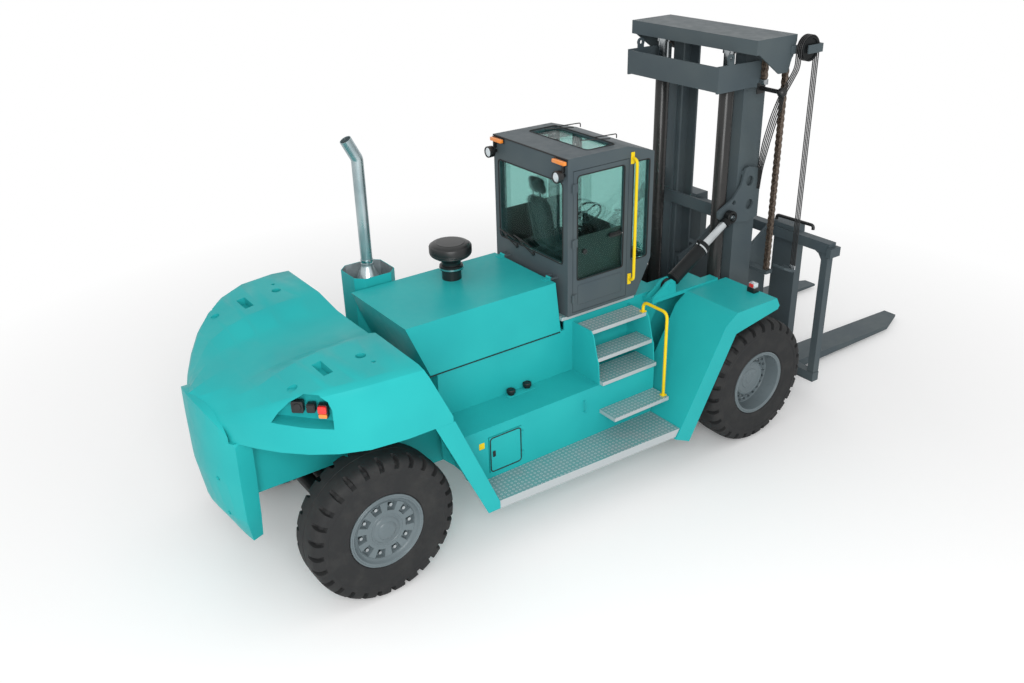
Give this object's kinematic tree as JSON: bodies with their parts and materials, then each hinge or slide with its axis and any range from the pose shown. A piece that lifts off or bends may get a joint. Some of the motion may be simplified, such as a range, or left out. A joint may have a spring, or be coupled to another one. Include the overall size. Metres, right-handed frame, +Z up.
{
  "type": "heavy diesel forklift truck",
  "caption": "heavy turquoise diesel forklift with a side-entry cab, a ribbed counterweight, dual driven wheels, a two-stage mast and long sliding forks",
  "frame": {"origin": "centre of the bounding box's bottom face, on the floor", "axes": "+X points forward to the fork tips, +Y to the driver's left, +Z up"},
  "size_m": [10.02, 3.06, 4.46],
  "materials": {
    "tyre_rubber": "matte moulded rubber",
    "grey_paint": "satin dark grey paint",
    "black_paint": "semi-gloss black paint",
    "turquoise_paint": "gloss turquoise paint",
    "tread_aluminium": "perforated tread plate, mill finish",
    "bright_steel": "polished steel",
    "chain_steel": "oiled brown steel",
    "black_plastic": "matte black plastic",
    "hose_rubber": "smooth black hydraulic hose",
    "seat_cloth": "woven black seat cloth",
    "window_glass": "tinted safety glass",
    "yellow_paint": "gloss yellow paint"
  },
  "bodies": {
    "chassis": {"frame": "turquoise_paint", "engine_bay": "turquoise_paint", "engine": "black_paint", "counterweight": "turquoise_paint", "rear_panel": "turquoise_paint", "exhaust_shroud": "turquoise_paint", "exhaust_stack": "bright_steel", "side_tanks": "turquoise_paint", "walkways": "tread_aluminium", "steps": "tread_aluminium", "front_fenders": "turquoise_paint", "rear_guards": "turquoise_paint", "cab_shell": "grey_paint", "cab_glass": "window_glass", "cab_sill": "tread_aluminium", "seat": "seat_cloth", "steering_console": "black_plastic", "lamps": "black_plastic", "drive_axle": "black_paint", "steer_axle": "black_paint", "steer_cylinder": "black_paint", "handrails": "yellow_paint"},
    "hood": {"hood": "turquoise_paint", "air_precleaner": "black_plastic"},
    "mast_outer": {"outer_mast": "grey_paint", "mast_top_beam": "grey_paint", "tilt_brackets": "grey_paint", "lift_barrels": "black_paint", "lift_chain_rear": "chain_steel"},
    "mast_inner": {"inner_mast": "grey_paint", "lift_rods": "bright_steel", "chain_sheaves": "black_paint", "lift_chain_front": "chain_steel", "mast_hoses": "hose_rubber"},
    "carriage": {"carriage": "grey_paint"},
    "steer_rod": {"steer_rod": "bright_steel"},
    "cab_door_right": {"cab_door_right": "grey_paint", "door_glass_right": "window_glass"},
    "access_hatch_right": {"access_hatch_right": "turquoise_paint"},
    "knuckle_right": {"knuckle_right": "black_paint"},
    "rear_wheel_right": {"rear_rim_right": "grey_paint", "rear_tyre_right": "tyre_rubber"},
    "front_wheel_right": {"front_rim_right": "grey_paint", "front_tyre_outer_right": "tyre_rubber", "front_tyre_inner_right": "tyre_rubber"},
    "fork_right": {"fork_right": "grey_paint"},
    "tilt_barrel_right": {"tilt_barrel_right": "black_paint"},
    "tilt_rod_right": {"tilt_rod_right": "bright_steel"},
    "cab_door_left": {"cab_door_left": "grey_paint", "door_glass_left": "window_glass"},
    "access_hatch_left": {"access_hatch_left": "turquoise_paint"},
    "knuckle_left": {"knuckle_left": "black_paint"},
    "rear_wheel_left": {"rear_rim_left": "grey_paint", "rear_tyre_left": "tyre_rubber"},
    "front_wheel_left": {"front_rim_left": "grey_paint", "front_tyre_outer_left": "tyre_rubber", "front_tyre_inner_left": "tyre_rubber"},
    "fork_left": {"fork_left": "grey_paint"},
    "tilt_barrel_left": {"tilt_barrel_left": "black_paint"},
    "tilt_rod_left": {"tilt_rod_left": "bright_steel"}
  },
  "joints": [
    {"name": "hood_hinge", "type": "hinge", "parent": "chassis", "child": "hood", "pos_m": [-1.236, 0.42, 2.264], "axis": [0, 1, 0], "range_deg": [0, 50]},
    {"name": "mast_tilt", "type": "hinge", "parent": "chassis", "child": "mast_outer", "pos_m": [1.2, 0, 0.56], "axis": [0, 1, 0], "range_deg": [-10, 5]},
    {"name": "mast_lift", "type": "slide", "parent": "mast_outer", "child": "mast_inner", "axis": [0, 0, 1], "range_m": [0, 2], "deforming": ["lift_chain_rear"]},
    {"name": "carriage_lift", "type": "slide", "parent": "mast_inner", "child": "carriage", "axis": [0, 0, 1], "range_m": [0, 2], "deforming": ["lift_chain_front", "mast_hoses"]},
    {"name": "cab_door_right_hinge", "type": "hinge", "parent": "chassis", "child": "cab_door_right", "pos_m": [-1.099, -0.6553, 2.6], "axis": [0, 0, -1], "range_deg": [0, 95]},
    {"name": "access_hatch_right_hinge", "type": "hinge", "parent": "chassis", "child": "access_hatch_right", "pos_m": [-2.072, -1.0573, 0.87], "axis": [0, 0, 1], "range_deg": [0, 110]},
    {"name": "steer_right", "type": "hinge", "parent": "chassis", "child": "knuckle_right", "pos_m": [-3.81, -0.85, 0.74], "axis": [0, 0, 1], "range_deg": [-40, 40]},
    {"name": "rear_wheel_right_spin", "type": "hinge", "parent": "knuckle_right", "child": "rear_wheel_right", "pos_m": [-3.81, -1.144, 0.74], "axis": [0, 1, 0], "continuous": true},
    {"name": "front_wheel_right_spin", "type": "hinge", "parent": "chassis", "child": "front_wheel_right", "pos_m": [0.94, -1.0595, 0.74], "axis": [0, 1, 0], "continuous": true},
    {"name": "fork_right_slide", "type": "slide", "parent": "carriage", "child": "fork_right", "axis": [0, -1, 0], "range_m": [-0.265, 0.535]},
    {"name": "tilt_barrel_right_pin", "type": "hinge", "parent": "chassis", "child": "tilt_barrel_right", "pos_m": [0.209, -0.7, 1.88], "axis": [0, 1, 0], "range_deg": [-9.55, 4.8]},
    {"name": "tilt_rod_right_slide", "type": "slide", "parent": "tilt_barrel_right", "child": "tilt_rod_right", "axis": [0.8485, 0, 0.5292], "range_m": [-0.2881, 0.1443]},
    {"name": "cab_door_left_hinge", "type": "hinge", "parent": "chassis", "child": "cab_door_left", "pos_m": [-1.099, 0.6553, 2.6], "axis": [0, 0, 1], "range_deg": [0, 95]},
    {"name": "access_hatch_left_hinge", "type": "hinge", "parent": "chassis", "child": "access_hatch_left", "pos_m": [-2.072, 1.0573, 0.87], "axis": [0, 0, -1], "range_deg": [0, 110]},
    {"name": "steer_left", "type": "hinge", "parent": "chassis", "child": "knuckle_left", "pos_m": [-3.81, 0.85, 0.74], "axis": [0, 0, 1], "range_deg": [-40.5, 40.5]},
    {"name": "rear_wheel_left_spin", "type": "hinge", "parent": "knuckle_left", "child": "rear_wheel_left", "pos_m": [-3.81, 1.144, 0.74], "axis": [0, 1, 0], "continuous": true},
    {"name": "front_wheel_left_spin", "type": "hinge", "parent": "chassis", "child": "front_wheel_left", "pos_m": [0.94, 1.0595, 0.74], "axis": [0, 1, 0], "continuous": true},
    {"name": "fork_left_slide", "type": "slide", "parent": "carriage", "child": "fork_left", "axis": [0, 1, 0], "range_m": [-0.8, 0]},
    {"name": "tilt_barrel_left_pin", "type": "hinge", "parent": "chassis", "child": "tilt_barrel_left", "pos_m": [0.209, 0.7, 1.88], "axis": [0, 1, 0], "range_deg": [-9.55, 4.8]},
    {"name": "tilt_rod_left_slide", "type": "slide", "parent": "tilt_barrel_left", "child": "tilt_rod_left", "axis": [0.8485, 0, 0.5292], "range_m": [-0.2881, 0.1443]},
    {"name": "steer_rod_slide", "type": "slide", "parent": "chassis", "child": "steer_rod", "axis": [0, 1, 0], "range_m": [-0.1445, 0.1445]}
  ],
  "couplings": [
    {"joint": "carriage_lift", "follows": "mast_lift", "ratio": 1},
    {"joint": "tilt_barrel_right_pin", "follows": "mast_tilt", "ratio": 0.9504},
    {"joint": "tilt_rod_right_slide", "follows": "mast_tilt", "m_per_rad": 1.6476},
    {"joint": "tilt_barrel_left_pin", "follows": "mast_tilt", "ratio": 0.9504},
    {"joint": "tilt_rod_left_slide", "follows": "mast_tilt", "m_per_rad": 1.6476},
    {"joint": "steer_left", "follows": "steer_right", "ratio": 1},
    {"joint": "steer_rod_slide", "follows": "steer_right", "m_per_rad": -0.2055}
  ]
}
